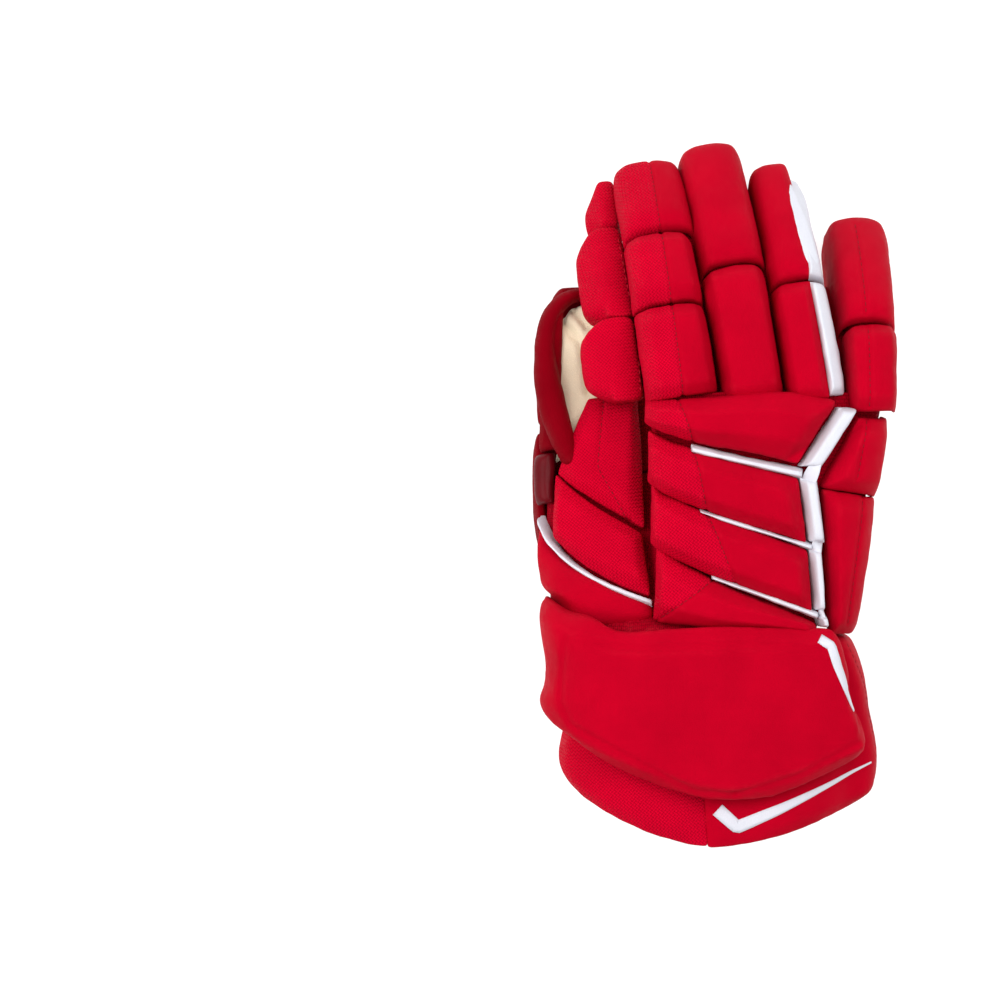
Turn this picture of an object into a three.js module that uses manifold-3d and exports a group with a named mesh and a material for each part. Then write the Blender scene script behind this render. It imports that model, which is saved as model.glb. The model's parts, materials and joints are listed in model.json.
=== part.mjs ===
// Ice hockey glove for the right hand, lying palm down on its fingertips, thumb guard and cuff.
// Millimetres. +Z is up, +Y points to the fingertips, +X to the little finger.
import * as THREE from 'three';
import { mergeVertices } from 'three/addons/utils/BufferGeometryUtils.js';
import Module from 'manifold-3d';

const wasm = await Module();
wasm.setup();

// Cloth and padding.
const knitWall = 2;
const leatherWall = 1.5;
const linerWall = 2.2;
const clearance = 0.9;
const bendClearance = 1.5;
const seamGap = 0.3;
const fingerPad = 13;
const backPad = 17;
const handSidePad = 14;
const fingerSidePad = 13;
const stripHeight = 12;
const thumbPad = 12;
const guardPad = 12.4;
const borderPad = 6;
const gripPad = 1.6;
const bevel = 7;

// The hand between wrist and knuckles: where it starts, its length, and its size at each end.
const wristY = -66;
const handLength = 112;
const knuckleX = 23;
const wristX = 14;
const knuckleLift = 57;
const wristLift = 47;
const knuckleWidth = 116;
const wristWidth = 100;
const knuckleHeight = 38;
const wristHeight = 54;

// The thumb with its root, from the wrist to its tip.
const thumbLength = 176;
const thumbRootX = -46;
const thumbTipX = -62;
const thumbRootLift = 38;
const thumbTipLift = 20;
const thumbRootWidth = 78;
const thumbMiddleWidth = 68;
const thumbTipWidth = 40;
const thumbRootHeight = 52;
const thumbMiddleHeight = 23;
const thumbTipHeight = 17;

// The cuff, from its mouth to the wrist.
const cuffLength = 114;
const cuffMouthX = -2;
const cuffWristX = -10;
const cuffMouthWidth = 134;
const cuffWristWidth = 116;
const cuffMouthHeight = 70;
const cuffWristHeight = 66;
const cuffFlap = 6;
const cuffRoll = 13;
const cuffPalmPad = 11;

// Where the fingers end above the floor, and how tall they are. At the root they meet the knuckles.
const fingerTipLift = 8;
const fingerRootHeight = knuckleHeight - knitWall;
const fingerMiddleHeight = 27;
const fingerTipHeight = 24;

// Each finger in mm: root and tip across the glove, reach beyond the knuckles, widths, and bend exponent.
const fingers = {
  index: { rootX: -20, tipX: -35.5, reach: 108, rootWide: 34.5, tipWide: 30, bend: 2.4 },
  middle: { rootX: 16.3, tipX: -2, reach: 117, rootWide: 27, tipWide: 28, bend: 2.2 },
  ring: { rootX: 47.5, tipX: 33, reach: 107, rootWide: 25.5, tipWide: 26, bend: 2.2 },
  little: { rootX: 75.5, tipX: 74.5, reach: 78, rootWide: 20.5, tipWide: 28, bend: 2.2 },
};

// Finger pads on the back, as shares of the finger's length and turns from its left side to its right.
const fingerPads = [
  { name: 'index_base_pad', on: 'index', near: 0.02, far: 0.395, left: -0.9, right: 1.02 },
  { name: 'index_mid_pad', on: 'index', near: 0.415, far: 0.695, left: -0.9, right: 1.02 },
  { name: 'index_tip_pad', on: 'index', near: 0.715, far: 1, left: -0.9, right: 1.1 },
  { name: 'middle_base_pad', on: 'middle', near: 0.02, far: 0.515, left: -1.02, right: 1.02 },
  { name: 'middle_tip_pad', on: 'middle', near: 0.535, far: 1, left: -1.1, right: 1.1 },
  { name: 'ring_base_pad', on: 'ring', near: 0.015, far: 0.485, left: -1.02, right: 0.24 },
  { name: 'ring_tip_pad', on: 'ring', near: 0.505, far: 1, left: -1.1, right: 0.24 },
  { name: 'ring_base_side', on: 'ring', near: 0.015, far: 0.485, left: 0.28, right: 1.02, cloth: 'white' },
  { name: 'ring_tip_side', on: 'ring', near: 0.505, far: 1, left: 0.28, right: 1.1, cloth: 'white' },
  { name: 'little_base_pad', on: 'little', near: 0.005, far: 0.39, left: -1.02, right: 1.02 },
  { name: 'little_tip_pad', on: 'little', near: 0.41, far: 1, left: -1.1, right: 1.1 },
];

// Side pads on the thumb side of the index finger; stand is their reach as a share of a full one.
const indexSideTop = -0.92;
const indexSideUnder = -1.3;
const indexSidePads = [
  { name: 'index_side_base', near: 0.05, far: 0.41, stand: 1 },
  { name: 'index_side_mid', near: 0.43, far: 0.84, stand: 1 },
  { name: 'index_side_tip', near: 0.85, far: 1, stand: 0.6 },
];

// Rows on the back of the hand. Near and far edges are shares of the hand's length at the row's left
// and right end. It starts and ends at turns from the middle, and its end differs from its wrist side
// to its finger side.
const backRows = [
  { near: [0.86, 0.75], far: [0.95, 1], start: -0.94, end: [0.17, 0.36] },
  { near: [0.62, 0.43], far: [0.835, 0.7], start: -0.88, end: [0.27, 0.18] },
  { near: [0.35, 0.13], far: [0.6, 0.39], start: -0.8, end: [0.36, 0.28] },
  { near: [0.05, 0.05], far: [0.315, 0.085], start: -0.7, end: [0.42, 0.38] },
];
// White panels at the rows' right ends and the strips in the grooves below the first three rows.
const rowEndTurns = [0.12, 0.09, 0.07, 0.07];
const rowEndGap = 0.02;
const shortestEnd = 0.06;
const stripStarts = [-0.37, -0.3, -0.24];
const stripMargin = 0.004;

// Quadratic through a value at the start, the middle and the end of a stretch.
function through(start, middle, end) {
  return (s) => start * (2 * s - 1) * (s - 1) + middle * 4 * s * (1 - s) + end * s * (2 * s - 1);
}

function between(start, end) {
  return (s) => start + (end - start) * s;
}

// A bent tube that pieces lie on. s runs along it, u goes round it in quarter turns from the top
// towards +X, and h is the height over its surface. Sections grow squarer with height, and what
// would sink below the floor is flattened on it.
function carrier({ centre, wide, high, square = 2.6, side = 1 }) {
  const step = 0.01;
  const squarerPerMm = 0.09;
  function place(s, u, h, scale = 1, spread = side) {
    const ahead = centre(s + step).sub(centre(s - step)).normalize();
    const across = new THREE.Vector3(ahead.y, -ahead.x, 0).normalize();
    const up = new THREE.Vector3().crossVectors(across, ahead);
    const turn = (u * Math.PI) / 2;
    const power = square + squarerPerMm * Math.max(h, 0);
    const x = Math.sin(turn);
    const z = Math.sign(Math.cos(turn)) * Math.max(0, 1 - Math.abs(x) ** power) ** (1 / power);
    const snug = Math.min(h, clearance);
    const sideways = snug + spread * (h - snug);
    const point = centre(s)
      .addScaledVector(across, x * scale * (wide(s) / 2 + sideways))
      .addScaledVector(up, z * scale * (high(s) / 2 + h));
    point.z = Math.max(point.z, 0);
    return point;
  }
  return { place };
}

function fingerCarrier({ rootX, tipX, reach, rootWide, tipWide, bend }) {
  const rootY = wristY + handLength + 1;
  const drop = knuckleLift - fingerTipLift;
  const bent = (s) => drop * Math.max(s, 0) ** bend;
  return carrier({
    centre: (s) => new THREE.Vector3(between(rootX, tipX)(s), rootY + reach * s, knuckleLift - bent(s)),
    wide: between(rootWide, tipWide),
    high: through(fingerRootHeight, fingerMiddleHeight, fingerTipHeight),
    side: 0.1,
  });
}

const hand = carrier({
  centre: (s) => new THREE.Vector3(
    between(wristX, knuckleX)(s),
    wristY + handLength * s,
    between(wristLift, knuckleLift)(s),
  ),
  wide: between(wristWidth, knuckleWidth),
  high: between(wristHeight, knuckleHeight),
  side: 0.25,
});

const thumb = carrier({
  centre: (s) => new THREE.Vector3(
    between(thumbRootX, thumbTipX)(s),
    wristY + thumbLength * s,
    through(thumbRootLift, (thumbRootLift + thumbTipLift * 3) / 4 - 1, thumbTipLift)(s),
  ),
  wide: through(thumbRootWidth, thumbMiddleWidth, thumbTipWidth),
  high: through(thumbRootHeight, thumbMiddleHeight, thumbTipHeight),
  side: 0.7,
});

const cuffHigh = between(cuffMouthHeight, cuffWristHeight);
const cuff = carrier({
  centre: (s) => new THREE.Vector3(
    between(cuffMouthX, cuffWristX)(s),
    wristY - 1 - cuffLength * (1 - s),
    cuffHigh(s) / 2 + cuffPalmPad - 1,
  ),
  wide: between(cuffMouthWidth, cuffWristWidth),
  high: cuffHigh,
  side: 1,
});

const digit = {};
for (const [name, sizes] of Object.entries(fingers)) digit[name] = fingerCarrier(sizes);

// Turns lists of points and faces into a geometry.
function geometryOf(points, faces) {
  const geometry = new THREE.BufferGeometry().setFromPoints(points);
  geometry.setIndex(faces);
  geometry.computeVertexNormals();
  return geometry;
}

// Values from 0 to 1 with a narrow step at each end for the bevel.
function stops(count, margin) {
  const inner = Array.from({ length: count - 1 }, (_, i) => margin + ((1 - 2 * margin) * i) / (count - 2));
  return [0, ...inner, 1];
}

const asFunction = (value) => (typeof value === 'function' ? value : () => value);

// A padded piece over a four-sided stretch of a carrier, with bevelled edges all round. near and
// far are functions of the share across, left and right of the share along, low and high of both.
function padGeometry(on, shape) {
  const { near, far, left, right, low = clearance, high } = shape;
  const { rim = 0.55, columns = 7, rows = 4, spread, cut = bevel } = shape;
  const [nearAt, farAt, leftAt, rightAt, lowAt, highAt] = [near, far, left, right, low, high].map(asFunction);
  const site = (w, t) => ({
    s: THREE.MathUtils.lerp(nearAt(w), farAt(w), t),
    u: THREE.MathUtils.lerp(leftAt(t), rightAt(t), w),
  });
  const spot = (w, t, h) => {
    const { s, u } = site(w, t);
    return on.place(s, u, h, 1, spread);
  };
  const middle = highAt(0.5, 0.5);
  const length = spot(0.5, 0, middle).distanceTo(spot(0.5, 1, middle));
  const top = spot(0.5, 0.5, middle);
  const width = spot(0, 0.5, middle).distanceTo(top) + top.distanceTo(spot(1, 0.5, middle));
  const across = stops(columns, Math.min(0.3, cut / width));
  const along = stops(rows, Math.min(0.3, cut / length));
  const points = [];
  for (const layer of ['top', 'bottom']) {
    along.forEach((t, j) => across.forEach((w, i) => {
      const base = lowAt(w, t);
      const onRim = i === 0 || j === 0 || i === columns || j === rows;
      const height = base + (highAt(w, t) - base) * (onRim ? rim : 1);
      points.push(spot(w, t, layer === 'top' ? height : base));
    }));
  }
  const index = (j, i) => j * (columns + 1) + i;
  const under = (rows + 1) * (columns + 1);
  const faces = [];
  for (let j = 0; j < rows; j += 1) {
    for (let i = 0; i < columns; i += 1) {
      const [a, b, c, d] = [index(j, i), index(j, i + 1), index(j + 1, i + 1), index(j + 1, i)];
      faces.push(a, b, c, a, c, d);
      faces.push(under + a, under + c, under + b, under + a, under + d, under + c);
    }
  }
  const ring = [];
  for (let i = 0; i < columns; i += 1) ring.push(index(0, i));
  for (let j = 0; j < rows; j += 1) ring.push(index(j, columns));
  for (let i = columns; i > 0; i -= 1) ring.push(index(rows, i));
  for (let j = rows; j > 0; j -= 1) ring.push(index(j, 0));
  ring.forEach((p, k) => {
    const q = ring[(k + 1) % ring.length];
    faces.push(under + p, under + q, q, under + p, q, p);
  });
  return geometryOf(points, faces);
}

// Faces between rings of equal count, from the first ring to the last.
function ringFaces(ringCount, sides, closed) {
  const faces = [];
  const last = closed ? ringCount : ringCount - 1;
  for (let k = 0; k < last; k += 1) {
    for (let i = 0; i < sides; i += 1) {
      const a = k * sides + i;
      const b = k * sides + ((i + 1) % sides);
      const c = ((k + 1) % ringCount) * sides + ((i + 1) % sides);
      const d = ((k + 1) % ringCount) * sides + i;
      faces.push(a, b, c, a, c, d);
    }
  }
  return faces;
}

function ringPoints(on, s, h, sides, scale = 1) {
  const at = asFunction(s);
  return Array.from({ length: sides }, (_, i) => {
    const u = (4 * i) / sides;
    return on.place(at(u), u, h, scale);
  });
}

// An open tube wall: up the outside, then back down the inside.
function tubeGeometry(on, { near, far, wall, sides = 24, stations = 5 }) {
  const nearAt = asFunction(near);
  const points = [];
  for (const h of [0, -wall]) {
    for (let k = 0; k <= stations; k += 1) {
      const t = h === 0 ? k / stations : 1 - k / stations;
      points.push(...ringPoints(on, (u) => THREE.MathUtils.lerp(nearAt(u), far, t), h, sides));
    }
  }
  return geometryOf(points, ringFaces(2 * (stations + 1), sides, true));
}

// A stall: a tube wall with a rounded closed end at the fingertip.
function stallGeometry(on, { near, far, wall, length, sides = 16, stations = 4, round = 0.12 }) {
  const domeScale = [0.9, 0.6];
  const domeShare = [0.5, 0.88];
  const layer = (h, end) => {
    const start = end - round;
    const rings = [];
    for (let k = 0; k <= stations; k += 1) {
      rings.push(ringPoints(on, THREE.MathUtils.lerp(near, start, k / stations), h, sides));
    }
    domeScale.forEach((scale, k) => {
      rings.push(ringPoints(on, start + round * domeShare[k], h, sides, scale));
    });
    return { rings, pole: on.place(end, 0, h, 0) };
  };
  const outside = layer(0, far);
  const inside = layer(-wall, far - wall / length);
  const count = outside.rings.length;
  const points = [...inside.rings.slice().reverse(), ...outside.rings].flat();
  const faces = ringFaces(2 * count, sides, false);
  points.push(outside.pole, inside.pole);
  const outerPole = points.length - 2;
  for (let i = 0; i < sides; i += 1) {
    const next = (i + 1) % sides;
    faces.push((2 * count - 1) * sides + i, (2 * count - 1) * sides + next, outerPole);
    faces.push(next, i, outerPole + 1);
  }
  return geometryOf(points, faces);
}

// A closed barrel along a carrier, for joins and cuts.
function barrel(on, near, far, h, sides = 20, stations = 4) {
  const points = [];
  for (let k = 0; k <= stations; k += 1) {
    points.push(...ringPoints(on, THREE.MathUtils.lerp(near, far, k / stations), h, sides));
  }
  const faces = ringFaces(stations + 1, sides, false);
  points.push(on.place(near, 0, h, 0), on.place(far, 0, h, 0));
  for (let i = 0; i < sides; i += 1) {
    const next = (i + 1) % sides;
    faces.push(next, i, points.length - 2);
    faces.push(stations * sides + i, stations * sides + next, points.length - 1);
  }
  return solidOf(geometryOf(points, faces));
}

function solidOf(geometry) {
  const bare = new THREE.BufferGeometry();
  bare.setAttribute('position', geometry.getAttribute('position'));
  bare.setIndex(geometry.index);
  const merged = mergeVertices(bare, 1e-3);
  return new wasm.Manifold(new wasm.Mesh({
    numProp: 3,
    vertProperties: new Float32Array(merged.attributes.position.array),
    triVerts: new Uint32Array(merged.index.array),
  }));
}

function geometryOfSolid(solid) {
  const { vertProperties, triVerts } = solid.getMesh();
  const geometry = new THREE.BufferGeometry();
  geometry.setAttribute('position', new THREE.BufferAttribute(new Float32Array(vertProperties), 3));
  geometry.setIndex(new THREE.BufferAttribute(new Uint32Array(triVerts), 1));
  geometry.computeVertexNormals();
  return geometry;
}

const finish = (color, roughness) => new THREE.MeshStandardMaterial({ color, roughness, metalness: 0 });
const cloths = {
  redSmooth: finish(0xcc0224, 0.55),
  redMesh: finish(0xb80220, 0.8),
  redKnit: finish(0x8a0218, 0.9),
  redGloss: finish(0xc00422, 0.25),
  white: finish(0xebecf5, 0.5),
  cream: finish(0xf0dcb9, 0.7),
  grip: finish(0x1e1e1e, 0.6),
  black: finish(0x18181c, 0.8),
};

const glove = new THREE.Group();

function add(name, geometry, cloth) {
  const mesh = new THREE.Mesh(geometry, cloths[cloth]);
  mesh.name = name;
  glove.add(mesh);
}

const thumbSplit = 0.43;

// The hand and the thumb root as one shell, with flat open ends at the wrist and the knuckles.
function handShell() {
  const past = 0.06;
  const outer = barrel(hand, -past, 1 + past, 0).add(barrel(thumb, -past, thumbSplit, 0));
  const handHollow = barrel(hand, -2 * past, 1 + 2 * past, -knitWall);
  const thumbHollow = barrel(thumb, -2 * past, thumbSplit + past, -knitWall);
  return outer.subtract(handHollow.add(thumbHollow))
    .subtract(cutter(wristY - cuffLength, wristY))
    .subtract(cutter(wristY + handLength, wristY + 2 * handLength));
}

// A block wider and taller than the glove between two places along it, to cut it square across.
function cutter(fromY, toY) {
  const reach = 3 * knuckleWidth;
  const block = new THREE.BoxGeometry(reach, toY - fromY, reach);
  block.translate(0, (fromY + toY) / 2, 0);
  return solidOf(block);
}

// A finger's stall, cut square where it is sewn to the hand.
function fingerShell(name) {
  const shape = { near: -0.05, far: 0.9, wall: knitWall, length: fingers[name].reach };
  const stall = solidOf(stallGeometry(digit[name], shape));
  return stall.subtract(cutter(wristY, wristY + handLength + seamGap));
}

// The cuff's lining, cut square where it is sewn to the wrist. Its mouth reaches further over the
// back of the wrist than under the palm.
function linerShell() {
  const backEdge = 0.04;
  const palmEdge = 0.33;
  const mouth = (u) => {
    const turn = Math.min(u, 4 - u);
    return Math.min(palmEdge, backEdge + (palmEdge - backEdge) * turn);
  };
  const shape = { near: mouth, far: 1.03, wall: linerWall, sides: 28, stations: 4 };
  const tube = solidOf(tubeGeometry(cuff, shape));
  return tube.subtract(cutter(wristY - seamGap, wristY + handLength));
}

function addShells() {
  add('hand_body', geometryOfSolid(handShell()), 'redKnit');
  for (const name of Object.keys(fingers)) {
    add(`${name}_stall`, geometryOfSolid(fingerShell(name)), 'redKnit');
    add(`${name}_palm`, padGeometry(digit[name], {
      near: 0.04,
      far: 0.8,
      left: 1.25,
      right: name === 'index' ? 4 + indexSideUnder - 0.06 : 2.75,
      low: bendClearance,
      high: bendClearance + leatherWall,
      rim: 1,
      columns: 6,
    }), 'cream');
  }
  add('thumb_sleeve', stallGeometry(thumb, {
    near: thumbSplit + seamGap / thumbLength,
    far: 0.95,
    wall: knitWall,
    length: thumbLength,
    sides: 20,
  }), 'cream');
}

// The fingertip pads close the front of the stall, so their last edge drops in front of its end.
const tipLow = (w, t) => (t === 1 ? -0.75 * (fingerTipHeight / 2) : bendClearance);

function addFingerPads() {
  for (const pad of fingerPads) {
    const tip = pad.far === 1;
    const narrow = pad.right - pad.left < 1;
    add(pad.name, padGeometry(digit[pad.on], {
      ...pad,
      far: tip ? 1.02 : pad.far,
      low: tip && !narrow ? tipLow : bendClearance + (narrow ? clearance : 0),
      high: fingerPad,
      columns: narrow ? 4 : 7,
      rows: 5,
      rim: tip ? 0.75 : 0.55,
      cut: narrow ? bevel / 2 : bevel,
    }), pad.cloth ?? 'redSmooth');
  }
  for (const pad of indexSidePads) {
    add(pad.name, padGeometry(digit.index, {
      near: pad.near,
      far: pad.far,
      left: indexSideUnder,
      right: indexSideTop,
      high: fingerSidePad * pad.stand,
      spread: 2,
      columns: 5,
      rows: 4,
    }), 'redMesh');
  }
}

// Where a row's edge on the wrist or finger side lies at a turn u of the hand.
function rowEdge(row, side) {
  const [atLeft, atRight] = row[side];
  const end = row.end[side === 'near' ? 0 : 1];
  return (u) => THREE.MathUtils.lerp(atLeft, atRight, (u - row.start) / (end - row.start));
}

function addBackRow(row, k) {
  const right = between(...row.end);
  const [, nearRight] = row.near;
  const [, farRight] = row.far;
  add(`back_row_${k + 1}`, padGeometry(hand, {
    near: between(...row.near),
    far: between(...row.far),
    left: row.start,
    right,
    high: backPad,
    columns: 10,
    rows: 4,
  }), 'redSmooth');
  const inner = (t) => right(t) + rowEndGap;
  add(`row_end_${k + 1}`, padGeometry(hand, {
    near: nearRight,
    far: Math.max(farRight, nearRight + shortestEnd),
    left: inner,
    right: (t) => inner(t) + rowEndTurns[k],
    low: clearance - seamGap,
    high: backPad - 2,
    columns: 3,
    rows: 4,
    cut: 2,
  }), 'white');
}

function addBackStrip(k) {
  const upper = rowEdge(backRows[k], 'near');
  const lower = rowEdge(backRows[k + 1], 'far');
  const turnAt = between(stripStarts[k], Math.min(backRows[k].end[0], backRows[k + 1].end[1]));
  add(`back_strip_${k + 1}`, padGeometry(hand, {
    near: (w) => lower(turnAt(w)) + stripMargin,
    far: (w) => upper(turnAt(w)) - stripMargin,
    left: turnAt(0),
    right: turnAt(1),
    high: stripHeight,
    columns: 7,
    rows: 3,
    cut: 1,
  }), 'white');
}

// Pads on the little-finger edge of the hand.
const sidePads = {
  side_pad_upper: { near: between(0.67, 0.63), far: 0.95, left: between(0.34, 0.53), right: 1.1 },
  side_pad_lower: { near: 0.03, far: between(0.64, 0.6), left: between(0.54, 0.35), right: 1.1 },
};

function addBack() {
  backRows.forEach(addBackRow);
  for (let k = 0; k < backRows.length - 1; k += 1) addBackStrip(k);
  for (const [name, edges] of Object.entries(sidePads)) {
    add(name, padGeometry(hand, { ...edges, high: handSidePad }), 'redSmooth');
  }
}

// The white strip that curves round the root of the thumb: its lower edge along the thumb at its
// left end, middle and right end, then its width and its gap to the pads on both sides.
const thumbStrip = { left: -0.88, right: 0.18, curve: through(0.31, 0.13, 0.012), wide: 0.022, gap: 0.009 };
const stripEdge = (u) => {
  const share = (u - thumbStrip.left) / (thumbStrip.right - thumbStrip.left);
  return thumbStrip.curve(Math.max(0, share));
};
// Along an edge between two turns, the strip's lower edge moved by a shift along the thumb.
const alongStrip = (left, right, shift) => (w) => stripEdge(THREE.MathUtils.lerp(left, right, w)) + shift;
const aboveStrip = thumbStrip.wide + thumbStrip.gap;

// Pads on the back of the thumb's root, above the strip.
const thumbPads = [
  {
    name: 'web_pad',
    near: between(0.43, 0.25),
    far: 0.63,
    left: between(-0.54, -0.2),
    right: between(0.16, 0.24),
  },
  {
    name: 'thumb_base_pad',
    near: alongStrip(-0.62, 0.16, aboveStrip),
    far: between(0.41, 0.22),
    left: between(-0.62, -0.56),
    right: between(0.16, 0.15),
  },
];
const thumbLower = { near: 0.005, far: alongStrip(-0.98, 0, -thumbStrip.gap), left: -0.98, right: 0 };

// The guard over the palm side of the thumb narrows to a round end at the tip.
const guardTaper = (t) => 0.42 * t ** 4;
const thumbGuards = {
  thumb_guard_tip: { near: 0.6, far: 1, left: (t) => 1 + guardTaper(t), right: (t) => 3 - guardTaper(t) },
  thumb_guard_mid: { near: 0.08, far: 0.58, left: 1.35, right: 3 },
};
const thumbEdges = {
  thumb_border: { near: 0.52, far: 0.94, left: -0.96, right: -0.55 },
  thumb_side_patch: { near: 0.37, far: 0.5, left: -0.96, right: -0.66 },
};

function addThumb() {
  const slope = (w) => thumbPad * (0.75 + 0.35 * w);
  for (const { name, ...edges } of thumbPads) {
    add(name, padGeometry(thumb, { ...edges, high: slope }), 'redMesh');
  }
  add('thumb_base_strip', padGeometry(thumb, {
    near: alongStrip(thumbStrip.left, thumbStrip.right, 0),
    far: alongStrip(thumbStrip.left, thumbStrip.right, thumbStrip.wide),
    left: thumbStrip.left,
    right: thumbStrip.right,
    high: thumbPad * 0.7,
    rows: 3,
    columns: 8,
    cut: 1,
  }), 'white');
  add('thumb_base_lower', padGeometry(thumb, { ...thumbLower, high: thumbPad * 0.8 }), 'redSmooth');
  for (const [name, edges] of Object.entries(thumbGuards)) {
    add(name, padGeometry(thumb, { ...edges, high: guardPad, columns: 8 }), 'redSmooth');
  }
  for (const [name, edges] of Object.entries(thumbEdges)) {
    const cloth = name === 'thumb_border' ? 'redSmooth' : 'redGloss';
    add(name, padGeometry(thumb, { ...edges, high: borderPad, columns: 4, cut: 2 }), cloth);
  }
}

// The leather of the palm and the grip patch on it.
const palmLeather = { near: 0.02, far: 0.97, left: 1.55, right: 2.28 };
const palmGrip = { near: between(0.02, 0.1), far: between(0.78, 0.93), left: 1.62, right: 2.2 };

function addPalm() {
  const leatherTop = clearance + leatherWall;
  const gripLow = leatherTop + clearance;
  add('palm_leather', padGeometry(hand, { ...palmLeather, high: leatherTop, rim: 1, columns: 6 }), 'cream');
  add('palm_grip', padGeometry(hand, {
    ...palmGrip,
    low: gripLow,
    high: gripLow + gripPad,
    rim: 1,
    columns: 6,
    cut: 3,
  }), 'grip');
}

// The main roll of the cuff over its back. Its lower edge comes to a blunt point over the mouth:
// pointed gives it, from its share along the cuff at the sides and at the tip.
const cuffMain = { left: -1.06, right: between(0.74, 0.5), far: between(1.04, 0.955), side: 0.54, tip: 0.18 };
// The flaps under it meet below its tip, where their corners are cut back by a share of the cuff.
const flapCorner = (w) => 0.04 * w ** 10;
const cuffFlaps = {
  thumb: {
    near: (w) => between(0.42, 0.01)(w) + flapCorner(w),
    far: between(1.02, 0.97),
    left: -1.02,
    right: -0.055,
  },
  little: {
    near: (w) => between(0.005, 0.26)(w) + flapCorner(1 - w),
    far: between(0.97, 0.94),
    left: -0.04,
    right: 1.26,
  },
};
const cuffPalmPads = {
  thumb_cuff_guard: { near: 0.58, far: 0.97, left: 2.03, right: 2.9 },
  cuff_palm_thumb: { near: between(0.33, 0.4), far: 0.56, left: 2.03, right: 2.9 },
  cuff_palm_little: { near: between(0.4, 0.33), far: 0.97, left: 1.3, right: 2 },
};
// A plain label and a pull tab sewn to the lining inside the mouth.
const cuffTrims = {
  cuff_label: { near: 0.14, far: 0.3, left: 0.05, right: 0.42, thick: 1.2, cloth: 'redSmooth' },
  cuff_tab: { near: 0.22, far: 0.42, left: 0.56, right: 0.66, thick: 2, cloth: 'black' },
};

function pointed(w) {
  const u = Math.min(1, Math.abs(THREE.MathUtils.lerp(cuffMain.left, cuffMain.right(0), w)));
  return cuffMain.side - (cuffMain.side - cuffMain.tip) * (1 - u ** 1.5);
}

function addCuff() {
  const flapTop = clearance + cuffFlap;
  const rollLow = flapTop + clearance;
  const rollTop = rollLow + cuffRoll;
  add('cuff_liner', geometryOfSolid(linerShell()), 'black');
  add('cuff_main', padGeometry(cuff, {
    ...cuffMain,
    near: pointed,
    low: rollLow,
    high: rollTop,
    columns: 14,
    rows: 6,
    cut: 11,
  }), 'redSmooth');
  add('cuff_flap_thumb', padGeometry(cuff, { ...cuffFlaps.thumb, high: flapTop, rows: 5 }), 'redMesh');
  // Beyond the main roll the flap on the little-finger side stands as high as the roll.
  const flare = (w) => THREE.MathUtils.lerp(flapTop, rollTop, THREE.MathUtils.smoothstep(w, 0.64, 0.8));
  add('cuff_flap_little', padGeometry(cuff, {
    ...cuffFlaps.little,
    high: flare,
    columns: 10,
    rows: 5,
    cut: 6,
  }), 'redMesh');
  for (const [name, edges] of Object.entries(cuffPalmPads)) {
    add(name, padGeometry(cuff, { ...edges, high: cuffPalmPad }), 'redSmooth');
  }
  const inside = -linerWall - clearance / 2;
  for (const [name, { thick, cloth, ...edges }] of Object.entries(cuffTrims)) {
    const flat = { low: inside - thick, high: inside, rim: 1, columns: 4, rows: 3, cut: 2 };
    add(name, padGeometry(cuff, { ...edges, ...flat }), cloth);
  }
}

addShells();
addFingerPads();
addBack();
addThumb();
addPalm();
addCuff();

// The origin lies on the floor under the middle of the glove.
glove.updateMatrixWorld(true);
const bounds = new THREE.Box3().setFromObject(glove);
const middle = bounds.getCenter(new THREE.Vector3());
for (const mesh of glove.children) mesh.geometry.translate(-middle.x, -middle.y, -bounds.min.z);

export default glove;
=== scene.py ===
# Looks of the ice hockey glove: soft pads, knit, leather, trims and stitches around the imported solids.
# Metres, in the frame's own axes: +Z up, +Y to the fingertips, +X to the little finger.
import json
import math

import bmesh
import bpy
import numpy as np
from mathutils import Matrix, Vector, noise
from mathutils.bvhtree import BVHTree


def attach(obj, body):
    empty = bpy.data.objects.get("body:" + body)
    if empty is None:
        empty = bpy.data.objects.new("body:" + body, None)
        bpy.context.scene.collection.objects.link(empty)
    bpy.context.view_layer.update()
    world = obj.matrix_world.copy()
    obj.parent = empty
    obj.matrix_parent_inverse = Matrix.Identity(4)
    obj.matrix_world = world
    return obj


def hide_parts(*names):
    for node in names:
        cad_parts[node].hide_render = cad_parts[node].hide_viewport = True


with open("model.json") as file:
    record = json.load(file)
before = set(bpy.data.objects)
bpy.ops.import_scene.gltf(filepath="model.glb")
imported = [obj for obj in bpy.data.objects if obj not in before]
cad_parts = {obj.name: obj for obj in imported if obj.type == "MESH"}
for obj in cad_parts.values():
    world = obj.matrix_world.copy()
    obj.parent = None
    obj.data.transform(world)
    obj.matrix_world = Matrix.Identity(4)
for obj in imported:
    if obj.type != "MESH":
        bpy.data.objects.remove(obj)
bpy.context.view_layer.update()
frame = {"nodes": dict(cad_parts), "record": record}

MM = 0.001
PHOTO_MM = 0.508          # one pixel of the photograph on the glove
PHOTO_CENTRE = (716.5, 495.0)  # the glove's middle in the photograph, in pixels
PLAN_SHIFT = Vector((1.0, -0.4, 0.0)) * MM  # from the photograph's middle to the frame's origin


def spot(px, py):
    """A place on the plan of the glove from a pixel of the photograph."""
    x = (px - PHOTO_CENTRE[0]) * PHOTO_MM * MM
    y = (PHOTO_CENTRE[1] - py) * PHOTO_MM * MM
    return Vector((x, y, 0.0)) + PLAN_SHIFT


def spots(*pixels):
    return [spot(px, py) for px, py in pixels]


# Materials


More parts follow.
